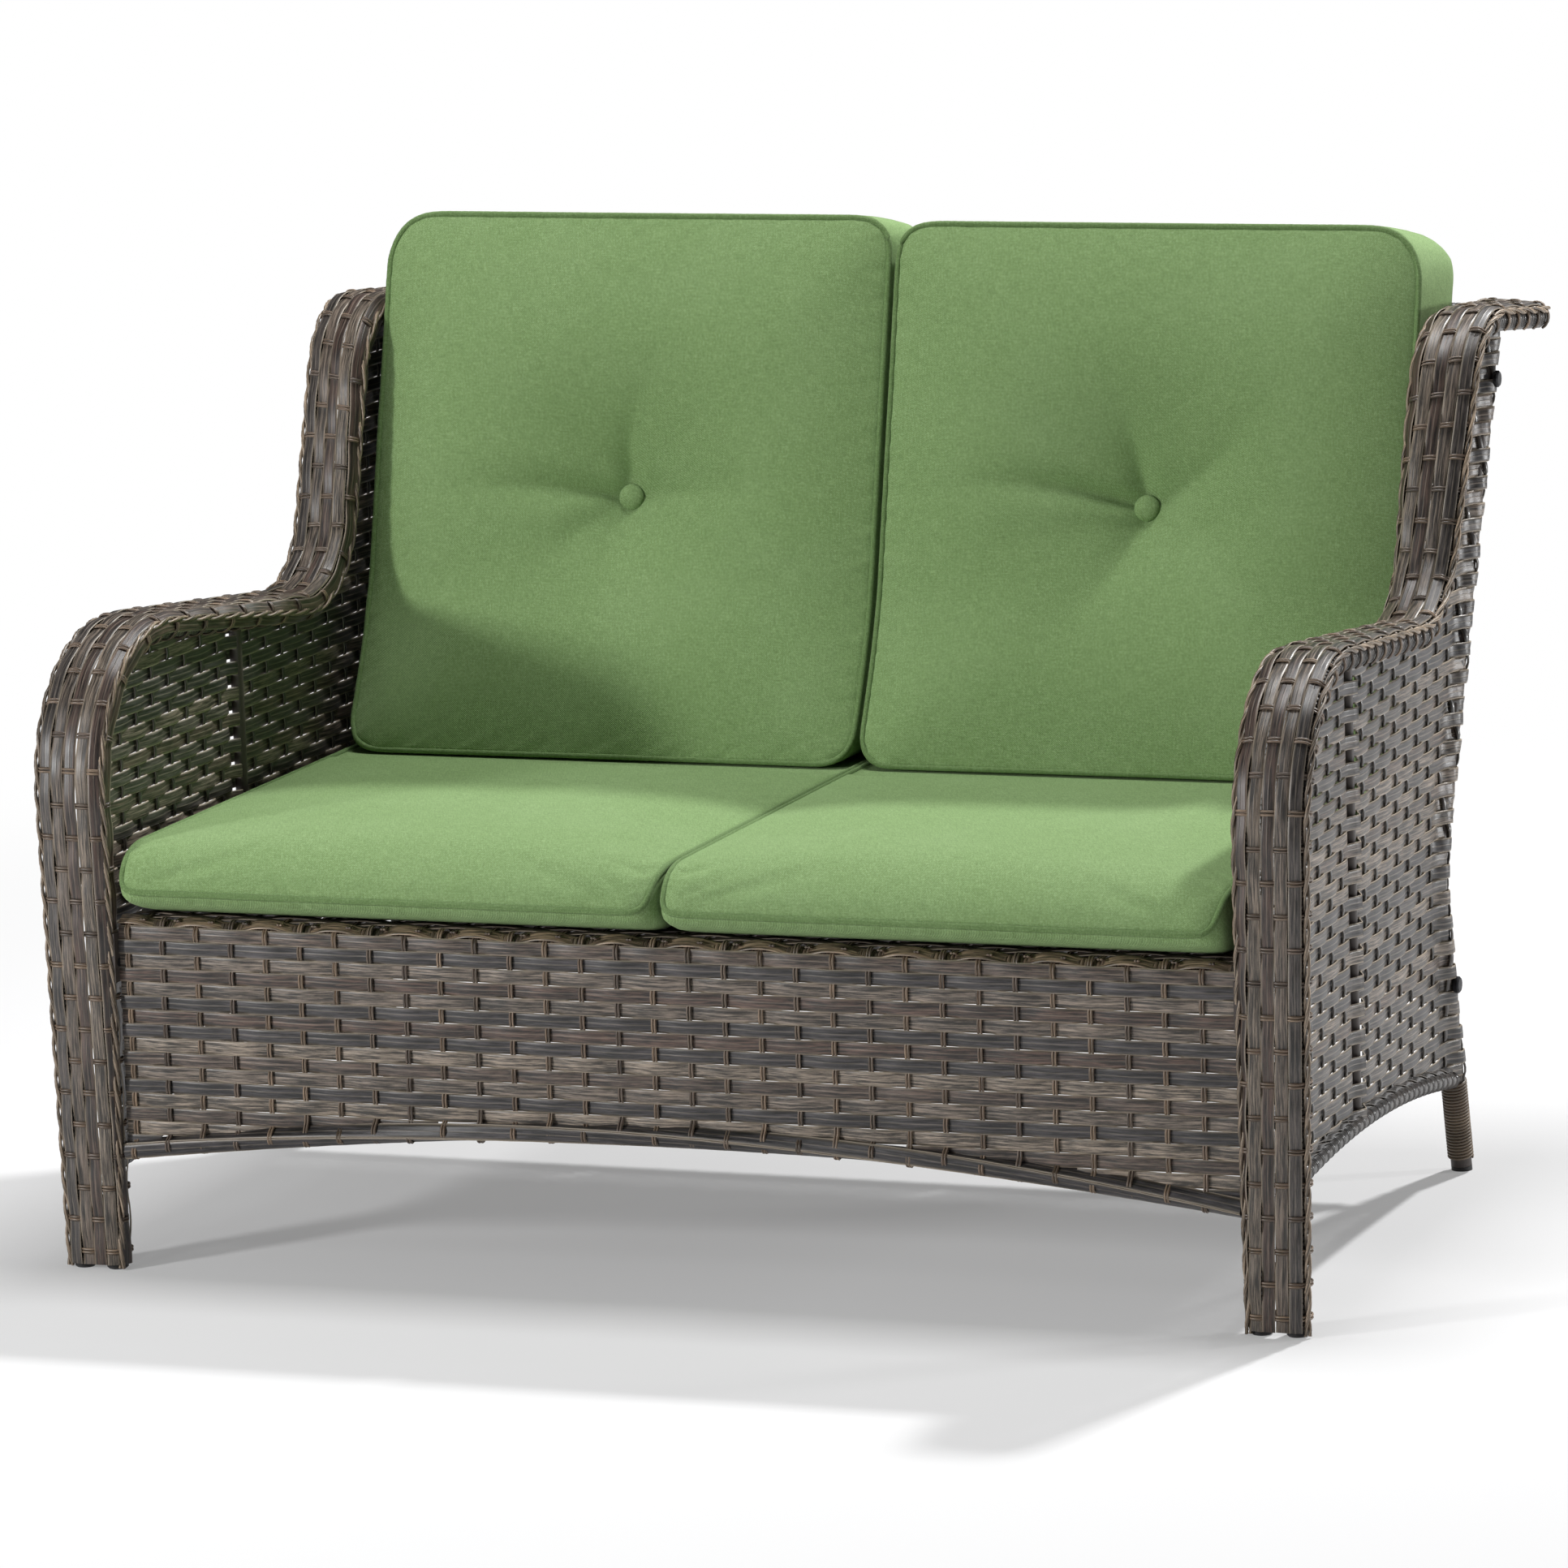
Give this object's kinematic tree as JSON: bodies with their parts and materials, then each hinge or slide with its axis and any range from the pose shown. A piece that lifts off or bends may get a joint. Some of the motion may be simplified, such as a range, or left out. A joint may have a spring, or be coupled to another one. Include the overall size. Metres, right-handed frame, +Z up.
{
  "type": "patio loveseat",
  "caption": "Two-seat garden sofa with a woven resin frame, curled arms, bowed apron and loose box cushions.",
  "frame": {"origin": "on the floor under the middle of the bounding box", "axes": "+Z up, -Y towards the front of the seat, +X to the right as seen from the front"},
  "size_m": [1.2178, 0.8573, 0.898],
  "materials": {
    "tube": "satin powder coat",
    "weave": "flat resin strands in mixed brown and grey",
    "cord": "twisted tan resin cord",
    "cushion_fabric": "mid green woven outdoor cloth with piping",
    "foam": "foam block inside the cover",
    "hardware": "black coated bolts, spacers and inserts",
    "foot": "moulded black glide"
  },
  "bodies": {
    "frame": {"apron_bottom_rail": "tube", "apron_weave": "weave", "arm_inner_tube_left": "tube", "arm_inner_tube_right": "tube", "arm_outer_tube_left": "tube", "arm_outer_tube_right": "tube", "arm_rungs_left": "tube", "arm_rungs_right": "tube", "arm_weave_left": "weave", "arm_weave_right": "weave", "back_bolts": "hardware", "back_bottom_rail": "tube", "back_mid_rail": "tube", "back_spacers": "hardware", "back_stakes": "tube", "back_top_rail": "tube", "back_uprights": "tube", "back_weave": "weave", "deck_weave": "weave", "front_glides_left": "foot", "front_glides_right": "foot", "leg_wrap_left": "cord", "leg_wrap_right": "cord", "rear_glide_left": "foot", "rear_glide_right": "foot", "rear_post_left": "tube", "rear_post_right": "tube", "seat_bolts": "hardware", "seat_brackets": "tube", "seat_front_rail": "tube", "seat_rear_rail": "tube", "seat_side_rails": "tube", "seat_slats": "tube", "side_lower_rail_left": "tube", "side_lower_rail_right": "tube", "side_upright_left": "tube", "side_upright_right": "tube", "side_weave_left": "weave", "side_weave_right": "weave", "threaded_inserts": "hardware"},
    "seat_cushion_left": {"seat_cushion_left": "cushion_fabric", "seat_core_left": "foam"},
    "back_cushion_left": {"back_cushion_left": "cushion_fabric", "back_fill_left": "foam", "back_button_left": "cushion_fabric"},
    "seat_cushion_right": {"seat_cushion_right": "cushion_fabric", "seat_core_right": "foam"},
    "back_cushion_right": {"back_cushion_right": "cushion_fabric", "back_fill_right": "foam", "back_button_right": "cushion_fabric"}
  },
  "joints": [
    {"name": "seat_cushion_left_slide", "type": "slide", "parent": "frame", "child": "seat_cushion_left", "axis": [0, -1, 0], "range_m": [0, 0.7]},
    {"name": "seat_cushion_right_slide", "type": "slide", "parent": "frame", "child": "seat_cushion_right", "axis": [0, -1, 0], "range_m": [0, 0.7]},
    {"name": "back_cushion_left_lift", "type": "slide", "parent": "frame", "child": "back_cushion_left", "axis": [0, 0.297, 0.9549], "range_m": [0, 0.6]},
    {"name": "back_cushion_right_lift", "type": "slide", "parent": "frame", "child": "back_cushion_right", "axis": [0, 0.297, 0.9549], "range_m": [0, 0.6]}
  ]
}
